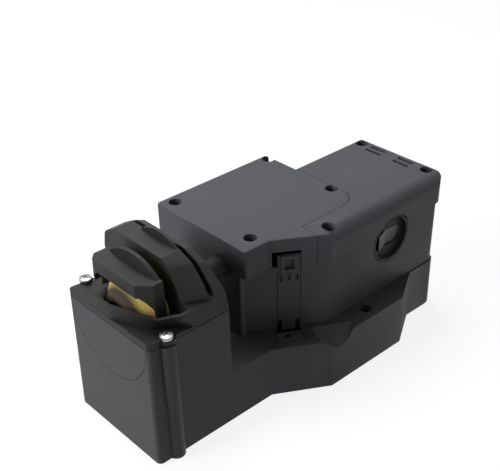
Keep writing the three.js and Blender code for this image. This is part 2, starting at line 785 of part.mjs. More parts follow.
// The raised block in plan, [x, y, 0] anticlockwise: its slanted walls run from the end face to a bend and on
// to the sides. They are cut in stretches up to the bend, because the wall twists there.
function blockPlan(shares, batter) {
  const endX = leanShare * blockZ;
  const sideY = towerHalfWidth - leanShare * blockZ;
  const side = (start, [xShare, yShare], turn) => {
    const points = [];
    for (let i = 0; i <= blockTwistSteps; i += 1) {
      const run = i / blockTwistSteps;
      const reach = start + run * (yShare * towerHalfWidth - start);
      points.push([endX + run * (xShare * humpStart - endX), turn * reach, 0]);
    }
    return [...points, [shares.end * humpStart, turn * sideY, 0]];
  };
  return [
    ...side(blockNearY + batter, shares.nearBend, -1), [towerLength, -sideY, 0], [towerLength, sideY, 0],
    ...side(blockFarY + batter, shares.farBend, 1).reverse(),
  ];
}


function makeHeadCap() {
  const low = partZ + halfClearance;
  const sideY = towerHalfWidth - leanShare * blockZ;
  const footEndX = blockFootShares.end * humpStart;
  const slope = solid(prismY([[-overrun, low], [footEndX, low], [footEndX, shelfEndZ], [0, shelfZ],
    [-overrun, shelfZ]], -towerHalfWidth - columnRadius, towerHalfWidth + columnRadius));
  let body = towerHull(low, shelfZ).intersect(slope);
  body = body.add(loftZ(blockPlan(blockFootShares, blockBatter), low, blockPlan(blockTopShares, 0), blockZ));
  const [humpFootShare] = humpNearShares;
  const left = humpOutline(humpNearShares, humpFootShare * towerHalfWidth + halfClearance, humpZ);
  const right = humpOutline(sideNearShares, sideY, humpZ);
  body = body.add(loftX(left, humpStart, right, humpEnd + slotWidth / 2));
  const beyond = humpOutline(sideNearShares, sideY, humpZ - sideDrop);
  const lean = solid(prismY([[towerLength, partZ + wall], [towerLength + overrun, partZ], [towerLength + overrun,
    humpZ + overrun], [towerLength - sideLean, humpZ + overrun]], -apronY, apronY));
  body = body.add(loftX(right, humpEnd + slotWidth / 2, beyond, towerLength)).subtract(lean);
  const rib = discX(ribY, ribZ, ribRadius, humpEnd - ribThickness, humpEnd)
    .intersect(box(humpStart, humpEnd, -sideY, sideY, humpZ - overrun, humpZ + ribRadius));
  body = body.add(rib);
  const bowl = loftZ(inset(blockPlan(blockFootShares, blockBatter), capWall), shelfZ,
    inset(blockPlan(blockTopShares, 0), capWall), blockZ + halfClearance)
    .intersect(box(0, humpStart, -towerHalfWidth, towerHalfWidth, shelfZ, humpZ));
  body = body.subtract(bowl).subtract(wheelSpace(wheelBevel));
  body = body.subtract(discX(0, partZ, coarseRadius + humpWall, humpStart + humpWall, humpEnd + slotWidth));
  body = body.subtract(box(humpStart + humpWall, towerLength - wall - bearingWidth, -sideY + 2 * capWall,
    sideY - 2 * capWall, partZ - overrun, shelfZ - capWall));
  body = body.subtract(box(humpEnd, humpEnd + slotWidth, -towerHalfWidth - overrun, towerHalfWidth + overrun,
    slotFloorZ, humpZ + ribRadius));
  body = body.subtract(discX(0, partZ, bearingRadius + clearance,
    towerLength - wall - bearingWidth, towerLength - halfClearance - wall / 2));
  body = body.subtract(discX(0, partZ, shaftRadius + 2 * clearance, humpStart - overrun, towerLength + overrun));
  body = body.subtract(discX(0, partZ, spacerRadius + 2 * clearance, humpStart - overrun, humpStart + 2 * humpWall));
  body = body.subtract(discX(0, partZ, endBearingRadius + endBossWall + clearance,
    leanShare * blockZ + capWall, fineStart));
  const shelfSlope = (shelfZ - shelfEndZ) / footEndX;
  body = body.subtract(solid(prismY([[-overrun, shelfZ], [humpStart, shelfZ - shelfSlope * humpStart],
    [humpStart, blockZ + overrun], [-overrun, blockZ + overrun]], blockEndY, towerHalfWidth + columnRadius)));
  for (const side of [-1, 1]) {
    body = body.subtract(discZ(columnX, side * columnY, pilotRadius, 0, shelfZ + overrun));
    body = body.subtract(discZ(columnX, side * columnY, panHeadRadius + clearance, screwSeatZ, shelfZ + overrun));
  }
  return body;
}

const guardFootZ = shelfZ + clearance;

// The guard in plan, anticlockwise, with its end walls and its slanted corners moved out by lean
function guardPlan(lean) {
  return [
    [guardStart, -guardNearY + guardChamfer - lean, 0], [guardStart + guardChamfer, -guardNearY - lean, 0],
    [guardEnd, -guardNearY - lean, 0], [guardEnd, guardFarY + lean, 0],
    [guardStart + guardChamfer / 2, guardFarY + lean, 0], [guardStart, guardFarY - guardChamfer / 2 + lean, 0],
  ];
}

// The guard stands on its end walls; its left side is open below the skirt, for the blade
function makeInnerGuard() {
  const ground = guardPlan(guardLean);
  const roof = guardPlan(0);
  let body = loftZ(ground, guardFootZ, roof, guardZ);
  const rib = discX(0, guardZ + guardRibRise - guardRibRadius, guardRibRadius, guardEnd - guardRibThickness,
    guardEnd, roundSteps * 2)
    .intersect(box(guardStart, guardEnd, -guardNearY, guardFarY, guardZ - guardWall,
      guardZ + guardRibRise + overrun));
  body = body.add(rib);
  const hollow = loftZ(inset(ground, guardWall), guardFootZ - halfClearance, inset(roof, guardWall),
    guardZ - guardWall);
  const skirtZ = guardZ - guardSkirt;
  const gate = (high) => box(0, guardStart + guardChamfer, -towerHalfWidth, towerHalfWidth, 0, high);
  const archFootZ = partZ + Math.sqrt(guardArchRadius ** 2 - guardFarY ** 2);
  return body.subtract(hollow).subtract(wheelSpace(2 * clearance)).subtract(gate(archFootZ))
    .subtract(discX(0, partZ, guardArchRadius, 0, towerLength).intersect(gate(skirtZ)));
}

function makeEndCover() {
  const top = partZ - halfClearance;
  const inner = wall + leanShare * partZ;
  const half = box(-overrun, towerLength, -towerHalfWidth, towerHalfWidth, 0, top);
  const plate = towerHull(rimZ, partZ + overrun)
    .intersect(discX(0, partZ, endCoverRadius, -overrun, inner + clearance, roundSteps * 2));
  const flange = discX(0, partZ, chamberHalfWidth - clearance, inner + clearance, inner + clearance + endFlange);
  const boss = discX(0, partZ, endBearingRadius + endBossWall, inner + clearance,
    shaftStart + clearance + endBearingWidth);
  return plate.add(flange).intersect(half).add(boss)
    .subtract(discX(0, partZ, endBearingRadius + halfClearance, shaftStart - halfClearance, guardStart));
}

// Wheel shaft with its wheels

function makeShaft() {
  const shaftEnd = pulleyStart + pulleyWidth + nutThickness + clearance;
  return turnedX([
    [shaftStart, 0], [shaftStart, shaftEndRadius], [fineStart, shaftEndRadius], [fineStart, shaftRadius],
    [shaftEnd, shaftRadius], [shaftEnd, 0],
  ], 0, partZ, smallSteps);
}

function makeFineWheel() {
  return turnedX([
    [fineStart + hubDish, wheelBore], [fineStart + hubDish, fineHubRadius], [fineStart, fineHubRadius],
    [fineStart, fineFaceRadius], [fineRimStart, fineRadius], [fineRimEnd, fineRadius],
    [fineEnd, fineRadius - wheelBevel], [fineEnd, wheelBore], [fineStart + hubDish, wheelBore],
  ], 0, partZ, roundSteps + smallSteps);
}

const coarseStart = humpStart + humpWall + clearance;

function makeCoarseWheel() {
  const dishX = coarseStart + hubDish;
  return turnedX([
    [dishX, wheelBore], [dishX, fineHubRadius], [coarseStart, fineHubRadius],
    [coarseStart, coarseFaceRadius], [coarseEnd - coarseRimWidth, coarseRadius],
    [coarseEnd - wheelBevel, coarseRadius], [coarseEnd, coarseRadius - wheelBevel],
    [coarseEnd, wheelBore], [dishX, wheelBore],
  ], 0, partZ, roundSteps + smallSteps);
}

const tube = (outer, bore, low, high) => discX(0, partZ, outer, low, high)
  .subtract(discX(0, partZ, bore, low - overrun, high + overrun));

function makeNut() {
  const low = pulleyStart + pulleyWidth + clearance;
  return discX(0, partZ, nutHalfWidth, low, low + nutThickness - clearance, 6)
    .subtract(discX(0, partZ, wheelBore, low - overrun, low + nutThickness));
}

function makePulley(y, z, radius, bore) {
  const end = pulleyStart + pulleyWidth;
  return turnedX([
    [pulleyStart, bore], [pulleyStart, radius + pulleyLip], [pulleyStart + pulleyFlange, radius + pulleyLip],
    [pulleyStart + pulleyFlange, radius], [end - pulleyFlange, radius], [end - pulleyFlange, radius + pulleyLip],
    [end, radius + pulleyLip], [end, bore], [pulleyStart, bore],
  ], y, z);
}

// The belt's loop round both pulleys, as [y, z] points
function beltLoop(extra) {
  const dy = -motorY;
  const dz = partZ - motorZ;
  const big = wheelPulleyRadius + extra;
  const small = motorPulleyRadius + extra;
  const line = Math.atan2(dz, dy);
  const spread = Math.acos((small - big) / Math.hypot(dy, dz));
  const upper = arc(0, partZ, big, line - spread, line + spread, smallSteps);
  const lower = arc(motorY, motorZ, small, line + spread, line - spread + 2 * Math.PI, smallSteps);
  return [...upper, ...lower];
}

function makeBelt() {
  const low = pulleyStart + pulleyFlange + clearance;
  const high = pulleyStart + pulleyWidth - pulleyFlange - clearance;
  return solid(prismX(beltLoop(clearance + beltThickness), low, high))
    .subtract(solid(prismX(beltLoop(clearance), low - overrun, high + overrun)));
}

// Motor

const statorEnd = statorStart + statorLength;

function makeStator() {
  return discX(motorY, motorZ, motorRadius, statorStart, statorEnd)
    .subtract(discX(motorY, motorZ, statorBore, statorStart - overrun, statorEnd + overrun));
}

function makeBell(low, high, openAtHigh) {
  const cup = discX(motorY, motorZ, motorRadius, low, high);
  const inside = openAtHigh
    ? discX(motorY, motorZ, motorRadius - bellWall, low + bellWall, high + overrun)
    : discX(motorY, motorZ, motorRadius - bellWall, low - overrun, high - bellWall);
  return cup.subtract(inside)
    .subtract(discX(motorY, motorZ, motorShaftRadius + clearance, low - overrun, high + overrun));
}

function makeRotor() {
  return discX(motorY, motorZ, rotorRadius, statorStart, statorEnd)
    .subtract(discX(motorY, motorZ, motorShaftRadius + clearance, statorStart - overrun, statorEnd + overrun));
}

const fanStart = statorEnd + bellLength + wall;

function makeMotorShaft() {
  return turnedX([
    [pulleyStart - clearance, 0], [pulleyStart - clearance, motorShaftRadius],
    [fanStart + fanWidth, motorShaftRadius], [fanStart + fanWidth, 0],
  ], motorY, motorZ, smallSteps);
}

function makeFan() {
  let body = discX(motorY, motorZ, fanHubRadius, fanStart, fanStart + fanWidth);
  for (let i = 0; i < fanBlades; i += 1) {
    const blade = block(fanStart, fanStart + fanWidth, fanHubRadius - overrun, fanRadius,
      -fanBladeThickness / 2, fanBladeThickness / 2);
    body = body.add(solid(blade.rotateX((i / fanBlades) * 2 * Math.PI).translate(0, motorY, motorZ)));
  }
  return body.subtract(discX(motorY, motorZ, motorShaftRadius + clearance,
    fanStart - overrun, fanStart + fanWidth + overrun));
}

function makeSaddle(low) {
  return box(low, low + saddleThickness, motorY - saddleHalfWidth, motorY + saddleHalfWidth,
    rimZ + plateThickness + clearance, motorZ - motorRadius / 2)
    .subtract(discX(motorY, motorZ, motorRadius + clearance, low - overrun, low + saddleThickness + overrun));
}

const capacitorStart = driveStart + capacitorInset;
const capacitorX = inletX - inletWidth / 2 - capacitorGap;
const capacitorY = middleFarY - 2 * wall - capacitorRadius - clipThickness - wall;
const capacitorZ = platformZ + capacitorRadius + wall + clipThickness;

function makeCapacitor() {
  return discX(capacitorY, capacitorZ, capacitorRadius, capacitorStart, capacitorX, smallSteps);
}

function makeCapacitorClip() {
  const outer = capacitorRadius + clearance + clipThickness;
  const middle = (capacitorStart + capacitorX) / 2;
  return discX(capacitorY, capacitorZ, outer, middle - clipWidth / 2, middle + clipWidth / 2, smallSteps)
    .add(box(middle - clipWidth / 2, middle + clipWidth / 2, capacitorY,
      lowerFarY - wall - clearance, capacitorZ - clipWidth / 2, capacitorZ + clipWidth / 2))
    .subtract(discX(capacitorY, capacitorZ, capacitorRadius + clearance,
      middle - clipWidth, middle + clipWidth, smallSteps));
}

// Drive housing: the lower shell of the middle and motor boxes, standing on the platform

const switchCut = (low, high) => discY(switchX, switchZ, switchRadius, low, high, roundSteps);

const motorTopZ = motorZ + motorRadius + footHeight / 2;

function latchWindow(low, high) {
  return nicheBox(latchStart, latchStart + latchWidth, -overrun, wall + overrun, low, high);
}

function driveBearingBoss() {
  return discX(0, partZ, bearingRadius + bossWall, driveStart, driveStart + wall + bearingWidth);
}

function driveBearingCuts() {
  return discX(0, partZ, bearingRadius + clearance, driveStart + wall, driveStart + wall + bearingWidth + overrun)
    .add(discX(0, partZ, shaftRadius + 2 * clearance, driveStart - overrun, driveStart + wall + overrun));
}

function makeDriveHousing() {
  const low = platformZ + clearance;
  const top = partZ - halfClearance;
  const outer = rounded(driveCorners);
  const inner = rounded(inset(driveInside, wall));
  const hull = solid(prismZ(outer, low, top));
  let body = hull.subtract(solid(prismZ(inner, low - overrun, top + overrun)));
  const ledge = solid(prismZ(outer, low, low + wall))
    .subtract(solid(prismZ(rounded(inset(driveInside, 2 * wall + clearance)), low - overrun, low + 2 * wall)));
  body = body.add(ledge);
  for (const [x, y] of [...middleScrews, ...motorScrews]) {
    const free = Math.abs(y - motorY) < motorRadius && x > pulleyStart + pulleyWidth;
    body = body.add(discZ(x, y, bossRadius, free ? motorTopZ : low, top).intersect(hull));
  }
  const [ribX] = middleScrews[2];
  body = body.add(box(ribX - wall, ribX + wall, lowerNearY + wall / 2, lowerMotorFarY - wall / 2, motorTopZ, top));
  body = body.add(driveBearingBoss().intersect(box(0, overallLength, -towerHalfWidth, towerHalfWidth, low, top)));
  body = body.subtract(driveBearingCuts());
  for (const [x, y] of [...middleScrews, ...motorScrews]) {
    body = body.subtract(discZ(x, y, pilotRadius, partZ - 2 * screwGrip, partZ));
  }
  body = body.subtract(switchCut(-motorNearY - overrun, lowerNearY + wall + overrun));
  body = body.subtract(discY(switchX, switchZ, switchRadius + switchFlange + clearance,
    lowerNearY + wall, lowerNearY + switchDepth + clearance, roundSteps));
  const far = lowerFarY;
  body = body.subtract(box(inletX - inletWidth / 2, inletX + inletWidth / 2, far - wall - overrun, far + overrun,
    inletZ - inletHeight / 2, inletZ + inletHeight / 2));
  const pivotPosts = nicheBox(latchStart - latchEarWidth - clearance, latchStart + latchWidth + latchEarWidth
    + clearance, wall - halfClearance, latchPivotDepth + latchEarReach, latchPivotZ - latchEarReach,
    latchPivotZ + latchEarReach);
  body = body.add(pivotPosts);
  body = body.subtract(latchWindow(low - overrun, partZ));
  body = body.subtract(nicheBox(latchStart, latchStart + latchWidth, -overrun,
    latchPivotDepth + latchEarReach + overrun, low + wall + clearance, top + overrun));
  const pin = block(latchStart - 2 * latchEarWidth, latchStart + latchWidth + 2 * latchEarWidth,
    latchPivotDepth - latchPinRadius - clearance, latchPivotDepth + latchPinRadius + clearance,
    latchPivotZ - latchPinRadius - clearance, latchPivotZ + latchPinRadius + clearance);
  return body.subtract(inNiche(pin).subtract(nicheBox(latchStart - 2 * latchEarWidth, latchStart + latchWidth
    + 2 * latchEarWidth, -overrun, wall, 0, partZ)));
}

// Covers

function coverHull() {
  const shape = new THREE.Shape(rounded(coverCorners).map(([x, y]) => new THREE.Vector2(x, y)));
  const low = partZ + halfClearance;
  const block = new THREE.ExtrudeGeometry(shape, {
    depth: coverZ - coverEdge - low, bevelThickness: coverEdge, bevelSize: coverEdge,
    bevelOffset: -coverEdge, bevelSegments: 2,
  });
  const nearCut = [
    ...arc(-motorNearY + nearEdgeRadius, coverZ - nearEdgeRadius, nearEdgeRadius,
      Math.PI / 2, Math.PI, 2 * cornerSteps),
    [-motorNearY - overrun, coverZ - nearEdgeRadius], [-motorNearY - overrun, coverZ + overrun],
    [-motorNearY + nearEdgeRadius, coverZ + overrun],
  ];
  return solid(block.translate(0, 0, low))
    .subtract(box(0, overallLength, -apronY, middleFarY + overrun, low - 2 * coverEdge, low))
    .subtract(solid(prismX(nearCut, nicheEndX, overallLength + overrun)));
}

// The part of the covers that belongs to the middle one, in plan; extra moves the seam
function middleRegion(extra) {
  const x = middleEnd + extra;
  const y = seamY - extra;
  const bend = arc(x - seamCurve, y + seamCurve + wall * 2, seamCurve, 0, -Math.PI / 2, 2 * cornerSteps)
    .map(([a, b]) => [a, Math.max(b - wall * 2, y)]);
  return [
    [0, -apronY], [seamX + extra, -apronY], [seamX + extra, y], ...bend.reverse(), [x, middleFarY + overrun],
    [0, middleFarY + overrun],
  ];
}

function coverPosts(screws) {
  let posts = null;
  for (const [x, y] of screws) {
    const post = discZ(x, y, recessRadius + wall, partZ + halfClearance, coverZ - wall);
    posts = posts ? posts.add(post) : post;
  }
  return posts;
}

function coverRecesses(screws) {
  let cuts = null;
  for (const [x, y] of screws) {
    const cut = discZ(x, y, recessRadius, partZ + recessFloor, coverZ + overrun)
      .add(discZ(x, y, pilotRadius, partZ - overrun, partZ + recessFloor + overrun));
    cuts = cuts ? cuts.add(cut) : cut;
  }
  return cuts;
}

const coverShell = coverHull();

function coverHollow(region) {
  return solid(prismZ(rounded(inset(coverCorners, wall)), partZ - overrun, coverZ - wall))
    .intersect(region);
}

function makeMiddleCover() {
  const region = solid(prismZ(middleRegion(-halfClearance), partZ - overrun, coverZ + overrun));
  const walled = solid(prismZ(rounded([
    [0, -apronY, 0], [seamX - wall, -apronY, 0], [seamX - wall, seamY + wall, 0],
    [middleEnd - wall - seamCurve / 2, seamY + wall, 0], [middleEnd - wall, seamY + seamCurve, 0],
    [middleEnd - wall, middleFarY + overrun, 0], [0, middleFarY + overrun, 0],
  ]), partZ - overrun, coverZ));
  let body = coverShell.intersect(region).subtract(coverHollow(walled));
  body = body.add(coverPosts(middleScrews).intersect(coverShell).intersect(region));
  const high = box(0, overallLength, -towerHalfWidth, towerHalfWidth, partZ + halfClearance, coverZ - overrun);
  body = body.add(driveBearingBoss().intersect(high));
  body = body.subtract(driveBearingCuts()).subtract(coverRecesses(middleScrews));
  body = body.subtract(latchWindow(partZ - overrun, latchWindowZ));
  return body.subtract(nicheBox(latchStart - sideWindow, latchStart + overrun, -overrun, wall + overrun,
    partZ - overrun, latchWindowZ));
}

function makeMotorCover() {
  const outside = solid(prismZ(middleRegion(halfClearance), partZ - 2 * overrun, coverZ + 2 * overrun));
  const walledOut = solid(prismZ([
    [0, -apronY], [seamX + wall, -apronY], [seamX + wall, seamY - wall], [middleEnd - seamCurve / 2, seamY - wall],
    [middleEnd + wall, seamY + seamCurve / 2], [middleEnd + wall, middleFarY + overrun], [0, middleFarY + overrun],
  ], partZ - overrun, coverZ));
  const inside = solid(prismZ(rounded(inset(coverCorners, wall)), partZ - overrun, coverZ - wall))
    .subtract(walledOut)
    .subtract(box(0, overallLength, -motorNearY, -motorNearY + nearEdgeRadius,
      coverZ - nearEdgeRadius, coverZ));
  let body = coverShell.subtract(outside).subtract(inside);
  body = body.add(coverPosts(motorScrews).intersect(coverShell).subtract(outside));
  body = body.subtract(coverRecesses(motorScrews));
  body = body.subtract(switchCut(-motorNearY - overrun, -motorNearY + wall + overrun));
  const middleY = (motorFarY - motorNearY) / 2 + wall * 2;
  for (const side of [-1, 1]) {
    for (const row of [0, 1]) {
      const x = overallLength - ventInset + ventPitch * row;
      const y = middleY + side * ventSpread;
      body = body.subtract(box(x - ventWidth / 2, x + ventWidth / 2, y - ventLength / 2, y + ventLength / 2,
        coverZ - 2 * wall, coverZ + overrun));
    }
  }
  return body;
}

// Release latch: a lever behind the niche wall, its pin and its spring

function makeLatchLever() {
  const u0 = latchStart + clearance;
  const u1 = latchStart + latchWidth - clearance;
  const middle = (u0 + u1) / 2;
  let body = nicheBox(u0, u1, 0, latchThickness, latchFootZ, latchTopZ);
  for (const low of [u0, u1 - latchEarWidth]) {
    body = body.add(nicheBox(low, low + latchEarWidth, latchThickness - halfClearance,
      latchPivotDepth + latchEarReach, latchPivotZ - latchEarReach, latchPivotZ + latchEarReach));
  }
  body = body.add(nicheBox(u0 + latchHookInset, u1 - latchHookInset, 0, latchHookThickness,
    platformZ - keeperDepth / 2, latchFootZ + overrun));
  const rim = nicheBox(middle - catchWidth / 2, middle + catchWidth / 2, -catchRelief, halfClearance,
    latchTopZ - catchHeight, latchTopZ);
  const hollow = nicheBox(middle - catchWidth / 2 + catchRim, middle + catchWidth / 2 - catchRim,
    -overrun, latchThickness / 2, latchTopZ - catchHeight + catchRim, latchTopZ - catchRim);
  body = body.add(rim).subtract(hollow);
  const pinHole = latchPinRadius + clearance;
  body = body.subtract(nicheBox(u0 - overrun, u1 + overrun, latchPivotDepth - pinHole, latchPivotDepth + pinHole,
    latchPivotZ - pinHole, latchPivotZ + pinHole));
  for (const place of [-1, 0, 1]) {
    const u = middle + place * catchWidth / 2;
    body = body.subtract(nicheBox(u - tickWidth / 2, u + tickWidth / 2, -overrun, tickDepth,
      tickZ, tickZ + tickHeight));
  }
  return body;
}

function alongNiche(radius, low, high, steps) {
  return inNiche(prismX(circle(latchPivotDepth, latchPivotZ, radius, steps), low, high));
}

function makeLatchPin() {
  return alongNiche(latchPinRadius, latchStart - latchEarWidth, latchStart + latchWidth + latchEarWidth, smallSteps);
}

function makeLatchSpring() {
  const low = latchStart + 2 * latchEarWidth;
  const high = latchStart + latchWidth - 2 * latchEarWidth;
  return alongNiche(2 * latchPinRadius, low, high, smallSteps)
    .subtract(alongNiche(latchPinRadius + clearance, low - overrun, high + overrun, smallSteps));
}

const keeperScrewAlong = latchStart + latchWidth / 2 - wall;
const keeperScrewOut = keeperReach - wall - screwHeadRadius;

function makeKeeper() {
  const body = nicheBox(latchStart - wall + clearance, latchStart + latchWidth - clearance,
    -keeperReach + clearance, -keeperNotch - clearance, platformZ - keeperDepth + clearance, platformZ);
  return body.subtract(inNiche(prismZ(circle(keeperScrewAlong, -keeperScrewOut, pilotRadius, smallSteps),
    platformZ - 2 * keeperDepth, platformZ + overrun)));
}

// Power switch: a round bezel in the near wall with a rocker that turns about an upright pin

const bezelFrontY = lowerNearY;
const rockerZ = switchZ - rockerDrop;

function makeSwitchBezel() {
  const back = bezelFrontY + switchDepth;
  const outer = switchRadius - clearance;
  let body = discY(switchX, switchZ, outer, bezelFrontY, back, roundSteps)
    .subtract(discY(switchX, switchZ, outer - switchRim, bezelFrontY - overrun, back - switchFloor, roundSteps));
  body = body.add(discY(switchX, switchZ, switchRadius + switchFlange, lowerNearY + wall + clearance, back,
    roundSteps).subtract(discY(switchX, switchZ, outer - clearance, lowerNearY, back + overrun, roundSteps)));
  return body.subtract(box(switchX - rockerLength / 2 - clearance, switchX + rockerLength / 2 + clearance,
    bezelFrontY - overrun, back + overrun, rockerZ - rockerHeight / 2 - clearance,
    rockerZ + rockerHeight / 2 + clearance));
}

const rockerPivotY = bezelFrontY + switchDepth + rockerPivotDepth - switchFloor;

function makeRocker() {
  const half = rockerLength / 2 - clearance;
  const rise = half * Math.tan(rockerTilt);
  const front = -rockerPivotDepth;
  const outline = [
    [-half, front - rise], [0, front + rise / 2], [half, front - rise],
    [half * Math.cos(rockerTilt), 0], [-half * Math.cos(rockerTilt), 0],
  ];
  const body = prismZ(outline, rockerZ - rockerHeight / 2, rockerZ + rockerHeight / 2);
  return solid(body.rotateZ(rockerTilt).translate(switchX, rockerPivotY, 0));
}

function makeSwitchBody() {
  const low = bezelFrontY + switchDepth + clearance;
  const half = rockerLength / 2 + wall;
  return box(switchX - half, switchX + half, low, low + switchBodyDepth,
    rockerZ - rockerHeight / 2 - wall, rockerZ + rockerHeight / 2 + wall)
    .subtract(box(switchX - rockerLength / 2 - clearance, switchX + rockerLength / 2 + clearance, low - overrun,
      low + switchBodyDepth / 2, rockerZ - rockerHeight / 2 - clearance, rockerZ + rockerHeight / 2 + clearance));
}

// Inlet socket in the far wall of the middle box

function makeInlet() {
  const far = lowerFarY;
  const w = inletWidth / 2 - clearance;
  const h = inletHeight / 2 - clearance;
  const back = far + inletFlange - inletDepth;
  let body = box(inletX - w, inletX + w, back, far, inletZ - h, inletZ + h)
    .add(box(inletX - w - inletFlange, inletX + w + inletFlange, far + clearance, far + clearance + inletFlange,
      inletZ - h - inletFlange, inletZ + h + inletFlange))
    .add(box(inletX - w, inletX + w, far - clearance, far + inletFlange, inletZ - h, inletZ + h));
  body = body.subtract(box(inletX - w + inletWall, inletX + w - inletWall, back + inletWall,
    far + 2 * inletFlange, inletZ - h + inletWall, inletZ + h - inletWall));
  for (const side of [-1, 1]) {
    body = body.add(discY(inletX + side * inletPinSpacing / 2, inletZ, inletPinRadius, back,
      far - inletFlange, smallSteps));
  }
  return body;
}

// Assembly

addPiece('base_housing', makeBase(), blackPlastic);
addPiece('bottom_plate', makeBottomPlate(), innerPlastic);
addPiece('head_cap', makeHeadCap(), blackPlastic);
addPiece('inner_guard', makeInnerGuard(), blackPlastic);
addPiece('end_cover', makeEndCover(), blackPlastic);
addPiece('drive_housing', makeDriveHousing(), blackPlastic);
addPiece('middle_cover', makeMiddleCover(), blackPlastic);
addPiece('motor_cover', makeMotorCover(), blackPlastic);

addPiece('wheel_shaft', makeShaft(), bearingSteel);
addPiece('fine_wheel', makeFineWheel(), abrasive);
addPiece('wheel_spacer', tube(spacerRadius, wheelBore, fineEnd + clearance, coarseStart - clearance), aluminium);
addPiece('coarse_wheel', makeCoarseWheel(), coarseAbrasive);
addPiece('shaft_nut', makeNut(), zincSteel);
addPiece('wheel_pulley', makePulley(0, partZ, wheelPulleyRadius, wheelBore), aluminium);
addPiece('drive_belt', makeBelt(), rubber);
addPiece('shaft_sleeve', tube(shaftRadius + wall, shaftRadius + 2 * clearance, towerLength + clearance,
  driveStart - skirtStep - clearance), innerPlastic);

addPiece('end_bearing', tube(endBearingRadius, shaftEndRadius + clearance, shaftStart + halfClearance,
  shaftStart + endBearingWidth), bearingSteel);
addPiece('tower_bearing', tube(bearingRadius, shaftRadius + clearance, towerLength - wall - bearingWidth
  + clearance, towerLength - wall / 2 - clearance - halfClearance), bearingSteel);
addPiece('drive_bearing', tube(bearingRadius, shaftRadius + clearance, driveStart + wall + clearance,
  driveStart + wall + bearingWidth), bearingSteel);

addPiece('stator_core', makeStator(), laminated);
addPiece('front_bell', makeBell(statorStart - bellLength, statorStart - clearance, true), aluminium);
addPiece('rear_bell', makeBell(statorEnd + clearance, statorEnd + bellLength, false), aluminium);
addPiece('rotor_core', makeRotor(), laminated);
addPiece('motor_shaft', makeMotorShaft(), bearingSteel);
addPiece('motor_pulley', makePulley(motorY, motorZ, motorPulleyRadius, motorShaftRadius + clearance), aluminium);
addPiece('cooling_fan', makeFan(), innerPlastic);
addPiece('front_saddle', makeSaddle(statorStart + saddleInset - saddleThickness), innerPlastic);
addPiece('rear_saddle', makeSaddle(statorEnd - saddleInset), innerPlastic);
addPiece('run_capacitor', makeCapacitor(), aluminium);
addPiece('capacitor_clip', makeCapacitorClip(), innerPlastic);

addPiece('latch_lever', makeLatchLever(), blackPlastic);
addPiece('latch_pin', makeLatchPin(), bearingSteel);
addPiece('latch_spring', makeLatchSpring(), bearingSteel);
addPiece('latch_keeper', makeKeeper(), blackPlastic);

addPiece('switch_bezel', makeSwitchBezel(), innerPlastic);
addPiece('switch_rocker', makeRocker(), gloss);
addPiece('switch_body', makeSwitchBody(), innerPlastic);
addPiece('power_inlet', makeInlet(), gloss);

feet.forEach(([x, y], i) => {
  addPiece(`foot_${i + 1}`, discZ(x, y, footRadius, 0, footHeight), rubber);
});
[-1, 1].forEach((side, i) => {
  addPiece(`head_screw_${i + 1}`, screwDown(columnX, side * columnY, screwSeatZ + clearance, panHeadRadius,
    panHeadHeight, screwGrip), zincSteel);
});
middleScrews.forEach(([x, y], i) => {
  addPiece(`middle_cover_screw_${i + 1}`, screwDown(x, y, partZ + recessFloor + clearance, screwHeadRadius,
    screwHeadHeight, screwGrip), blackSteel);
});
motorScrews.forEach(([x, y], i) => {
  addPiece(`motor_cover_screw_${i + 1}`, screwDown(x, y, partZ + recessFloor + clearance, screwHeadRadius,
    screwHeadHeight, screwGrip), blackSteel);
});
plateScrews.forEach(([x, y], i) => {
  addPiece(`plate_screw_${i + 1}`, screwUp(x, y, rimZ + plateThickness / 2, screwGrip), blackSteel);
});
addPiece('platform_screw', screwDown(platformScrew[0], platformScrew[1], platformZ - dishBody + clearance,
  screwHeadRadius, screwHeadHeight, screwGrip), blackSteel);

export default sharpener;
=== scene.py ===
# Dresses the electric knife sharpener: soft-edged mouldings, cross-recess screws and the finish of
# each material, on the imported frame. X runs to the motor, Y away from the user and Z up. Sizes of the
# part are millimetres times MM, and the lamps and the floor are in metres.
import json
import math

import bpy
from mathutils import Matrix, Vector


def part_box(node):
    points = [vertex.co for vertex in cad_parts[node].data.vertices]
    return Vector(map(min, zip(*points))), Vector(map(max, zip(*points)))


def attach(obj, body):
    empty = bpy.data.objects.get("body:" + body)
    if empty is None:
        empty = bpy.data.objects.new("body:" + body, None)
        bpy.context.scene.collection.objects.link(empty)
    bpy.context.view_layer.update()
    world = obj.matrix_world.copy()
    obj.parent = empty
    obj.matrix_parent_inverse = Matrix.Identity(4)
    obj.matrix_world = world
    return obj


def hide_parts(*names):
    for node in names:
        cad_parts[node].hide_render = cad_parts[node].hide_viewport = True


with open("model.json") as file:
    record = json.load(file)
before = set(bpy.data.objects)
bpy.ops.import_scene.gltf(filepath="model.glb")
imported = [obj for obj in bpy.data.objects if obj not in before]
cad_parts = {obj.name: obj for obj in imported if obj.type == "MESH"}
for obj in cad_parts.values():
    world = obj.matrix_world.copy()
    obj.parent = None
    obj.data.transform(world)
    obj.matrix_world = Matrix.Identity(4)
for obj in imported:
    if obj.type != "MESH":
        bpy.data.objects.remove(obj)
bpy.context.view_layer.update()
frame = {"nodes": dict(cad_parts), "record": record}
nodes = frame["nodes"]
record = frame["record"]
slot_of = {part["node"]: part["material_slot"] for part in record["subparts"]}
body_of = {node: body for body, members in record["behaviour"]["bodies"].items() for node in members}

MM = 0.001
WHEEL_AXIS = (0, -0.1 * MM, 78 * MM)
# Painted shade on a wheel's face, brown towards the hub, in millimetres from the axis: where it begins to
# fade, and where it ends
FINE_PAINTED_SHADE = (14.8, 17.6)
COARSE_PAINTED_SHADE = (20, 25)
PAINTED_SHADE_BROWN = 0x33291A
ABS_IOR = 1.53
ABS_SPECULAR = 0.22  # the moulded grain shades much of the gloss


# Colours and materials

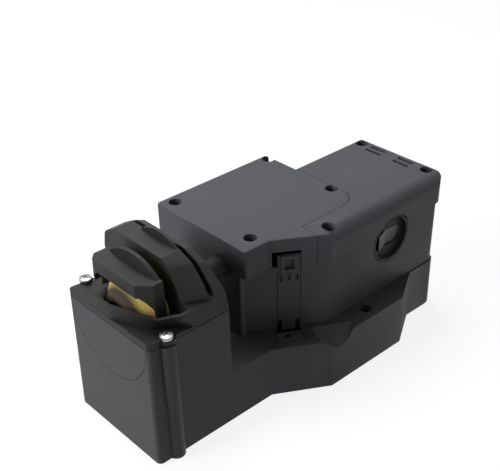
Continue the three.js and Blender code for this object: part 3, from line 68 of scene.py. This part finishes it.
def linear(hex_colour):
    """Turns an sRGB hex value into the linear colour that a shader takes."""
    channels = [(hex_colour >> shift & 255) / 255 for shift in (16, 8, 0)]
    return tuple(c / 12.92 if c <= 0.04045 else ((c + 0.055) / 1.055) ** 2.4 for c in channels) + (1,)


def add_node(material, kind, inputs=None, **settings):
    """Adds a node to a material: inputs are values or other nodes' outputs, by name or number."""
    tree = material.node_tree
    node = tree.nodes.new(kind)
    for name, value in settings.items():
        setattr(node, name, value)
    for name, value in (inputs or {}).items():
        if isinstance(value, bpy.types.NodeSocket):
            tree.links.new(value, node.inputs[name])
        else:
            node.inputs[name].default_value = value
    return node


def new_finish(name, metallic, ior=1.5, specular=0.5):
    """A material with its shader joined to the output; the caller fills in the colour and the bump."""
    material = bpy.data.materials.new(name)
    material.use_nodes = True
    material.node_tree.nodes.clear()
    shader = add_node(material, "ShaderNodeBsdfPrincipled", {
        "Metallic": metallic, "IOR": ior, "Specular IOR Level": specular})
    add_node(material, "ShaderNodeOutputMaterial", {"Surface": shader.outputs["BSDF"]})
    place = add_node(material, "ShaderNodeTexCoord").outputs["Object"]
    return material, shader, place


def join(material, output, shader, socket):
    material.node_tree.links.new(output, shader.inputs[socket])


def noise(material, place, size_mm, detail=2.0, roughness=0.5):
    """A noise whose features are about size_mm across."""
    texture = add_node(material, "ShaderNodeTexNoise", {
        "Vector": place, "Scale": 1 / (size_mm * MM), "Detail": detail, "Roughness": roughness})
    return texture.outputs["Fac"]


def ramp(material, factor, stops):
    """Colours by factor: stops are (position, hex colour)."""
    node = add_node(material, "ShaderNodeValToRGB", {"Fac": factor})
    points = node.color_ramp.elements
    while len(points) < len(stops):
        points.new(0.5)
    for point, (position, colour) in zip(points, stops):
        point.position = position
        point.color = linear(colour)
    return node.outputs["Color"]


def spread(material, factor, low, high):
    """Maps a noise onto a range of roughness."""
    return add_node(material, "ShaderNodeMapRange", {
        "Value": factor, "From Min": 0.3, "From Max": 0.7, "To Min": low, "To Max": high}).outputs["Result"]


def raise_by(material, shader, height, strength, depth_mm):
    """Feeds a height to the shader's normal as a bump."""
    bump = add_node(material, "ShaderNodeBump", {
        "Height": height, "Strength": strength, "Distance": depth_mm * MM})
    join(material, bump.outputs["Normal"], shader, "Normal")


def moulded_abs(name, tones):
    """Injection-moulded ABS: a spark-eroded grain breaks the highlights and shades much of the gloss,
    and broad flow marks and handling vary the tone and the gloss a little. tones run from dark to light."""
    material, shader, place = new_finish(name, 0.0, ABS_IOR, ABS_SPECULAR)
    # The real grain is about 0.3 mm; it is drawn at 0.8 mm so that it shows.
    grain = noise(material, place, 0.8, 3.0, 0.6)
    flow = noise(material, place, 34.0, 4.0, 0.55)
    join(material, ramp(material, flow, list(zip((0.3, 0.55, 0.75), tones))), shader, "Base Color")
    join(material, spread(material, flow, 0.46, 0.6), shader, "Roughness")
    raise_by(material, shader, grain, 0.22, 0.06)
    return material


def inner_abs():
    """Unpolished black ABS of the parts inside: flat and even, with a coarser grain."""
    material, shader, place = new_finish("plain_black_abs", 0.0, ABS_IOR, ABS_SPECULAR)
    grain = noise(material, place, 1.2, 2.0)
    flow = noise(material, place, 22.0)
    join(material, ramp(material, flow, [(0.3, 0x232426), (0.7, 0x2C2D2F)]), shader, "Base Color")
    join(material, spread(material, grain, 0.55, 0.68), shader, "Roughness")
    raise_by(material, shader, grain, 0.2, 0.08)
    return material


def zinc_plate():
    """Bright zinc-plated steel of the tower's screws: pale, a little bluish, with a faint drawn haze."""
    material, shader, place = new_finish("bright_zinc_plate", 1.0)
    haze = noise(material, place, 1.5, 3.0)
    join(material, ramp(material, haze, [(0.3, 0x8C8E8E), (0.7, 0xA8A8A4)]), shader, "Base Color")
    join(material, spread(material, haze, 0.28, 0.42), shader, "Roughness")
    raise_by(material, shader, haze, 0.1, 0.03)
    return material


def black_oxide():
    """Black-oxide steel of the sunken screws: dark with a dull oily sheen."""
    material, shader, place = new_finish("black_oxide_steel", 0.7)
    wear = noise(material, place, 1.8, 3.0)
    join(material, ramp(material, wear, [(0.3, 0x1E1F21), (0.75, 0x34363A)]), shader, "Base Color")
    join(material, spread(material, wear, 0.38, 0.55), shader, "Roughness")
    return material


def bonded_abrasive(name, grit_mm, stops, painted_shade):
    """Resin-bonded abrasive: grains of two sizes stand in a matt binder, so it is speckled and dull.
    Towards the hub the face is painted brown as shade, which fades out towards the rim."""
    material, shader, place = new_finish(name, 0.0, 1.55)
    grit = add_node(material, "ShaderNodeTexVoronoi", {"Vector": place, "Scale": 1 / (grit_mm * MM)})
    patches = noise(material, place, 6.0, 4.0, 0.6)
    tone = add_node(material, "ShaderNodeMath", {0: grit.outputs["Distance"], 1: 0.45}, operation="MULTIPLY")
    mixed = add_node(material, "ShaderNodeMath", {0: tone.outputs["Value"], 1: patches}, operation="ADD")
    from_axis = add_node(material, "ShaderNodeVectorMath", {0: place, 1: WHEEL_AXIS}, operation="SUBTRACT")
    across = add_node(material, "ShaderNodeVectorMath", {0: from_axis.outputs["Vector"], 1: (0, 1, 1)},
                      operation="MULTIPLY")
    radius = add_node(material, "ShaderNodeVectorMath", {0: across.outputs["Vector"]}, operation="LENGTH")
    # Painted shade: brown near the hub, fading into the grains further out.
    shade_fades_from, shade_ends_at = painted_shade
    unshaded = add_node(material, "ShaderNodeMapRange", {
        "Value": radius.outputs["Value"], "From Min": shade_fades_from * MM, "From Max": shade_ends_at * MM})
    grains = ramp(material, mixed.outputs["Value"], stops)
    # On a Mix node, sockets 6 and 7 are its two colours, and output 2 is the mixed one.
    tint = add_node(material, "ShaderNodeMix", {
        "Factor": unshaded.outputs["Result"], 6: linear(PAINTED_SHADE_BROWN), 7: grains}, data_type="RGBA")
    join(material, tint.outputs[2], shader, "Base Color")
    shader.inputs["Roughness"].default_value = 0.88
    raise_by(material, shader, grit.outputs["Distance"], 0.45, 0.25)
    return material


def ground_steel():
    """Ground bearing steel: fine rings from the grinding wheel round the turned parts."""
    material, shader, place = new_finish("ground_steel", 1.0)
    rings = add_node(material, "ShaderNodeTexWave", {
        "Vector": place, "Scale": 1 / (2.0 * MM), "Distortion": 1.5, "Detail": 2.0}, bands_direction="X")
    height = rings.outputs["Fac"]
    join(material, ramp(material, height, [(0.2, 0xA9ABAD), (0.8, 0xC6C7C8)]), shader, "Base Color")
    join(material, spread(material, height, 0.26, 0.38), shader, "Roughness")
    return material


def cast_aluminium():
    """Die-cast and skimmed aluminium of the pulleys and the motor's ends: soft grey, slightly pitted."""
    material, shader, place = new_finish("die_cast_aluminium", 1.0)
    pits = noise(material, place, 1.6, 4.0, 0.65)
    join(material, ramp(material, pits, [(0.3, 0x8F9193), (0.7, 0xABADAF)]), shader, "Base Color")
    join(material, spread(material, pits, 0.36, 0.52), shader, "Roughness")
    raise_by(material, shader, pits, 0.2, 0.08)
    return material


def lamination_stack():
    """Stacked electrical steel: the edges of 0.5 mm sheets, drawn at 1 mm so that they show."""
    material, shader, place = new_finish("lamination_stack", 0.9)
    sheets = add_node(material, "ShaderNodeTexWave", {
        "Vector": place, "Scale": 1 / (6.3 * MM), "Distortion": 0.2}, bands_direction="X")
    height = sheets.outputs["Fac"]
    join(material, ramp(material, height, [(0.3, 0x54575A), (0.7, 0x7C7F82)]), shader, "Base Color")
    shader.inputs["Roughness"].default_value = 0.5
    raise_by(material, shader, height, 0.4, 0.15)
    return material


def moulded_rubber(name, dark, light):
    """Black moulded rubber of the feet and the belt: very matt, with a dusty bloom."""
    material, shader, place = new_finish(name, 0.0, 1.52)
    bloom = noise(material, place, 5.0, 5.0, 0.6)
    join(material, ramp(material, bloom, [(0.3, dark), (0.75, light)]), shader, "Base Color")
    join(material, spread(material, bloom, 0.78, 0.92), shader, "Roughness")
    raise_by(material, shader, noise(material, place, 0.9, 2.0), 0.15, 0.05)
    return material


def polished_pc():
    """Polished black polycarbonate of the rocker and the inlet: a clear highlight, faint finger haze."""
    material, shader, place = new_finish("polished_black_polycarbonate", 0.0, 1.58, 0.35)
    haze = noise(material, place, 7.0, 4.0)
    join(material, ramp(material, haze, [(0.3, 0x101012), (0.7, 0x18181A)]), shader, "Base Color")
    join(material, spread(material, haze, 0.2, 0.34), shader, "Roughness")
    return material


finishes = {
    "black_plastic": moulded_abs("moulded_charcoal_abs", (0x3D3F43, 0x44464A, 0x4B4D51)),
    "inner_plastic": inner_abs(),
    "zinc_steel": zinc_plate(),
    "black_steel": black_oxide(),
    "abrasive": bonded_abrasive("fine_resin_abrasive", 0.7,
                                [(0.2, 0x8F792E), (0.5, 0xA68F3E), (0.8, 0xBAA35A)], FINE_PAINTED_SHADE),
    "coarse_abrasive": bonded_abrasive("coarse_resin_abrasive", 1.1,
                                       [(0.2, 0x6E6239), (0.5, 0x8A7A49), (0.8, 0xA39668)], COARSE_PAINTED_SHADE),
    "bearing_steel": ground_steel(),
    "aluminium": cast_aluminium(),
    "laminated_steel": lamination_stack(),
    "rubber": moulded_rubber("moulded_black_rubber", 0x1A1A1B, 0x29292A),
    "gloss_plastic": polished_pc(),
}
# The tower's mouldings are darker copies of the drive's moulding, as painted shade. Its cap and guard are
# darker still, nearly black and warmer, as painted deeper shade.
tower_painted_shade_abs = moulded_abs("moulded_abs_painted_shade", (0x333538, 0x393B3E, 0x3F4145))
head_painted_shade_abs = moulded_abs("moulded_warm_abs_painted_deep_shade", (0x1B1B1A, 0x1F1F1E, 0x252423))
PAINTED_SHADE_FINISHES = {
    "base_housing": tower_painted_shade_abs, "end_cover": tower_painted_shade_abs, "head_cap": head_painted_shade_abs, "inner_guard": head_painted_shade_abs,
}


def finish_of(node_name):
    """A node's finish: a darker copy painted as shade where one is listed, or else that of its material
    slot.
    """
    return PAINTED_SHADE_FINISHES.get(node_name, finishes[slot_of[node_name]])


for node_name, node in nodes.items():
    node.data.materials.clear()
    node.data.materials.append(finish_of(node_name))


# Modelling helpers

# Degrees between the faces at an edge: above the first it gets a radius, below the second it shades smooth
CORNER_ABOVE = 32
SMOOTH_BELOW = 34
MERGE_WITHIN = 0.0015  # millimetres


def only(obj):
    """Makes obj the one selected and active object."""
    bpy.ops.object.select_all(action="DESELECT")
    obj.select_set(True)
    bpy.context.view_layer.objects.active = obj


def apply_modifiers(obj):
    only(obj)
    for modifier in list(obj.modifiers):
        bpy.ops.object.modifier_apply(modifier=modifier.name)


def edit(obj, *steps):
    """Runs edit-mode steps on the whole of obj."""
    only(obj)
    bpy.ops.object.mode_set(mode="EDIT")
    bpy.ops.mesh.select_mode(type="VERT")
    bpy.ops.mesh.select_all(action="SELECT")
    for step in steps:
        step()
    bpy.ops.object.mode_set(mode="OBJECT")


def settle(obj, name, node_name):
    """Names a finished piece that stands for a node, and gives it the node's finish and body."""
    obj.name = name
    obj.data.name = name
    only(obj)
    bpy.ops.object.transform_apply(location=True, rotation=True, scale=True)
    obj.data.materials.clear()
    obj.data.materials.append(finish_of(node_name))
    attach(obj, body_of[node_name])
    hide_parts(node_name)


def soften(node_name, edge_mm):
    """A moulding with the small edge radii that a tool leaves: they catch the light along every edge."""
    node = nodes[node_name]
    piece = bpy.data.objects.new(node_name + "_moulding", node.data.copy())
    bpy.context.scene.collection.objects.link(piece)
    edit(piece,
         lambda: bpy.ops.mesh.remove_doubles(threshold=MERGE_WITHIN * MM),
         lambda: bpy.ops.mesh.dissolve_limited(angle_limit=math.radians(0.6)))
    edges = piece.modifiers.new("edge_radius", "BEVEL")
    edges.width = edge_mm * MM
    edges.segments = 2
    edges.limit_method = "ANGLE"
    edges.angle_limit = math.radians(CORNER_ABOVE)
    apply_modifiers(piece)
    bpy.ops.object.shade_smooth_by_angle(angle=math.radians(SMOOTH_BELOW))
    # The big flats keep their own normals, so that each small radius shades by itself.
    flats = piece.modifiers.new("flats", "WEIGHTED_NORMAL")
    flats.mode = "FACE_AREA"
    flats.weight = 100
    flats.keep_sharp = True
    apply_modifiers(piece)
    settle(piece, node_name + "_moulding", node_name)


# Edge radius of each moulding in millimetres
SOFT_EDGES = {
    "base_housing": 0.7, "head_cap": 0.55, "inner_guard": 0.6, "end_cover": 0.3, "drive_housing": 0.45,
    "middle_cover": 0.4, "motor_cover": 0.4, "latch_lever": 0.3, "latch_keeper": 0.25, "switch_bezel": 0.3,
    "switch_rocker": 0.6, "power_inlet": 0.3, "bottom_plate": 0.4,
}
for moulding, radius in SOFT_EDGES.items():
    soften(moulding, radius)


# Screws with a cross recess: head radius, head height and the cross's half length in millimetres
PAN_SCREW = (3.6, 2.2, 2.1)
SUNKEN_SCREW = (3.3, 2.3, 1.9)
SHANK_RADIUS = 1.5
RIM_RADIUS = 0.25
# The dome in rings from the rim inwards: a step as a share of the radius and a rise as a share of the height
DOME_RINGS = ((0.10, 0.0), (0.16, 0.10), (0.20, 0.09), (0.22, 0.05))
CROSS_TURN = 0.35  # radians, as the near pan screw stands in the photograph


def face_near(obj, height):
    """Selects the faces of obj whose middle lies at a height in millimetres."""
    for polygon in obj.data.polygons:
        polygon.select = abs(polygon.center.z / MM - height) < 0.02


def cross_screw(node_name, head_radius, head_height, cross_reach):
    """A domed screw with a cross recess, in place of a plain one whose head is on top."""
    low, high = (Vector(corner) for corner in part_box(node_name))
    middle = (low + high) / 2
    shank_length = (high.z - low.z) / MM - 1.3 * head_height
    bpy.ops.object.select_all(action="DESELECT")
    bpy.ops.mesh.primitive_cylinder_add(vertices=48, radius=head_radius * MM, depth=head_height * MM)
    screw = bpy.context.active_object
    bpy.ops.object.mode_set(mode="EDIT")
    bpy.ops.mesh.select_mode(type="FACE")
    bpy.ops.mesh.select_all(action="DESELECT")
    bpy.ops.object.mode_set(mode="OBJECT")
    face_near(screw, head_height / 2)
    bpy.ops.object.mode_set(mode="EDIT")
    for step_in, rise in DOME_RINGS:
        bpy.ops.mesh.inset(thickness=step_in * head_radius * MM, depth=0)
        bpy.ops.transform.translate(value=(0, 0, rise * head_height * MM))
    bpy.ops.mesh.select_all(action="DESELECT")
    bpy.ops.object.mode_set(mode="OBJECT")
    face_near(screw, -head_height / 2)
    bpy.ops.object.mode_set(mode="EDIT")
    bpy.ops.mesh.inset(thickness=(head_radius - SHANK_RADIUS) * MM, depth=0)
    bpy.ops.mesh.extrude_region_move(TRANSFORM_OT_translate={"value": (0, 0, -shank_length * MM)})
    bpy.ops.transform.resize(value=(0.8, 0.8, 1))
    bpy.ops.object.mode_set(mode="OBJECT")
    rim = screw.modifiers.new("rim", "BEVEL")
    rim.width = RIM_RADIUS * MM
    rim.segments = 2
    rim.limit_method = "ANGLE"
    rim.angle_limit = math.radians(50)
    apply_modifiers(screw)
    bar = (2 * cross_reach * MM, 0.32 * cross_reach * MM, head_height * MM)
    for turn in (CROSS_TURN, CROSS_TURN + math.pi / 2):
        bpy.ops.object.select_all(action="DESELECT")
        bpy.ops.mesh.primitive_cube_add(
            size=1, location=(0, 0, (head_height * 0.62) * MM), rotation=(0, 0, turn), scale=bar)
        cutter = bpy.context.active_object
        cut = screw.modifiers.new("cross", "BOOLEAN")
        cut.operation = "DIFFERENCE"
        cut.solver = "EXACT"
        cut.object = cutter
        apply_modifiers(screw)
        bpy.data.objects.remove(cutter)
    only(screw)
    bpy.ops.object.shade_smooth_by_angle(angle=math.radians(30))
    above_middle = head_height * (0.5 + sum(rise for _, rise in DOME_RINGS))
    screw.location = (middle.x, middle.y, high.z - above_middle * MM)
    settle(screw, node_name + "_cross", node_name)


for node_name in sorted(nodes):
    if node_name.startswith("head_screw"):
        cross_screw(node_name, *PAN_SCREW)
    elif "cover_screw" in node_name or node_name == "platform_screw":
        cross_screw(node_name, *SUNKEN_SCREW)


# Floor, light and camera

FLOOR_SIZE = 24
FLOOR_GLOW = 0.86  # with the lamps' light on top, the camera sees the floor near white
ROOM_LIGHT = 0.13
LAMP_TARGET = (0, 0, 0.05)


def shown(owner):
    """1 where the background itself is looked at: from the camera, in a reflection or through glass."""
    path = add_node(owner, "ShaderNodeLightPath").outputs
    mirrored = add_node(owner, "ShaderNodeMath", {0: path["Is Camera Ray"], 1: path["Is Glossy Ray"]},
                        operation="MAXIMUM")
    return add_node(owner, "ShaderNodeMath", {0: mirrored.outputs["Value"], 1: path["Is Transmission Ray"]},
                    operation="MAXIMUM").outputs["Value"]


def floor_finish():
    """A plain pale sweep: the camera sees it near white, with the object's soft shadow on it."""
    material = bpy.data.materials.new("pale_paper_sweep")
    material.use_nodes = True
    material.node_tree.nodes.clear()
    paper = add_node(material, "ShaderNodeBsdfDiffuse", {"Color": linear(0x767676)})
    glow = add_node(material, "ShaderNodeEmission", {"Color": linear(0xFFFFFF), "Strength": FLOOR_GLOW})
    dark = add_node(material, "ShaderNodeEmission", {"Strength": 0.0})
    lit = add_node(material, "ShaderNodeMixShader", {
        0: shown(material), 1: dark.outputs[0], 2: glow.outputs[0]})
    both = add_node(material, "ShaderNodeAddShader", {0: paper.outputs[0], 1: lit.outputs[0]})
    add_node(material, "ShaderNodeOutputMaterial", {"Surface": both.outputs[0]})
    return material


bpy.ops.object.select_all(action="DESELECT")
bpy.ops.mesh.primitive_plane_add(size=FLOOR_SIZE, location=(0, 0, 0))
floor = bpy.context.active_object
floor.name = "pale_floor"
floor.data.materials.append(floor_finish())

world = bpy.data.worlds.new("soft_studio")
bpy.context.scene.world = world
world.use_nodes = True
world.node_tree.nodes.clear()
room = add_node(world, "ShaderNodeBackground", {"Color": linear(0xE8EAEE), "Strength": ROOM_LIGHT})
white = add_node(world, "ShaderNodeBackground", {"Color": linear(0xFFFFFF), "Strength": 1.0})
choice = add_node(world, "ShaderNodeMixShader", {0: shown(world), 1: room.outputs[0], 2: white.outputs[0]})
add_node(world, "ShaderNodeOutputWorld", {"Surface": choice.outputs[0]})


def softbox(name, place, width, height, watts):
    """A soft studio lamp that points at the middle of the object."""
    light = bpy.data.lights.new(name, "AREA")
    light.shape = "RECTANGLE"
    light.size = width
    light.size_y = height
    light.energy = watts
    lamp = bpy.data.objects.new(name, light)
    bpy.context.scene.collection.objects.link(lamp)
    lamp.location = place
    lamp.rotation_euler = (Vector(LAMP_TARGET) - Vector(place)).to_track_quat("-Z", "Y").to_euler()


softbox("left_softbox", (-1.1, 0.36, 0.62), 0.6, 0.6, 15.5)
softbox("top_softbox", (0.15, 0.5, 1.1), 0.7, 0.7, 8.5)
softbox("front_fill", (0.5, -1.3, 0.6), 0.8, 0.6, 1.6)


def photo_camera():
    """The camera at the photograph's place: worked out from the object's corners in the picture."""
    photo_width, focal_length, centre_shift = 500, 912.2, (3.3, 69.8)  # pixels
    yaw, pitch, roll = (math.radians(angle) for angle in (48.46, 35.61, -1.52))
    target = Vector((-16.3, -0.1, 40)) * MM
    distance = 555.1 * MM
    level = Vector((math.cos(yaw), math.sin(yaw), 0))
    ahead = level * math.cos(pitch) - Vector((0, 0, math.sin(pitch)))
    upright = level * math.sin(pitch) + Vector((0, 0, math.cos(pitch)))
    side = ahead.cross(upright)
    right = side * math.cos(roll) + upright * math.sin(roll)
    above = upright * math.cos(roll) - side * math.sin(roll)
    data = bpy.data.cameras.new("photo_camera")
    data.sensor_width = 36
    data.lens = focal_length / photo_width * data.sensor_width
    data.shift_x, data.shift_y = (shift / photo_width for shift in centre_shift)
    data.clip_start = 0.01
    camera = bpy.data.objects.new("photo_camera", data)
    bpy.context.scene.collection.objects.link(camera)
    turn = Matrix((right, above, -ahead)).transposed()
    camera.matrix_world = Matrix.Translation(target - ahead * distance) @ turn.to_4x4()
    bpy.context.scene.camera = camera


photo_camera()
bpy.context.scene.view_settings.view_transform = "Standard"

bpy.context.view_layer.update()
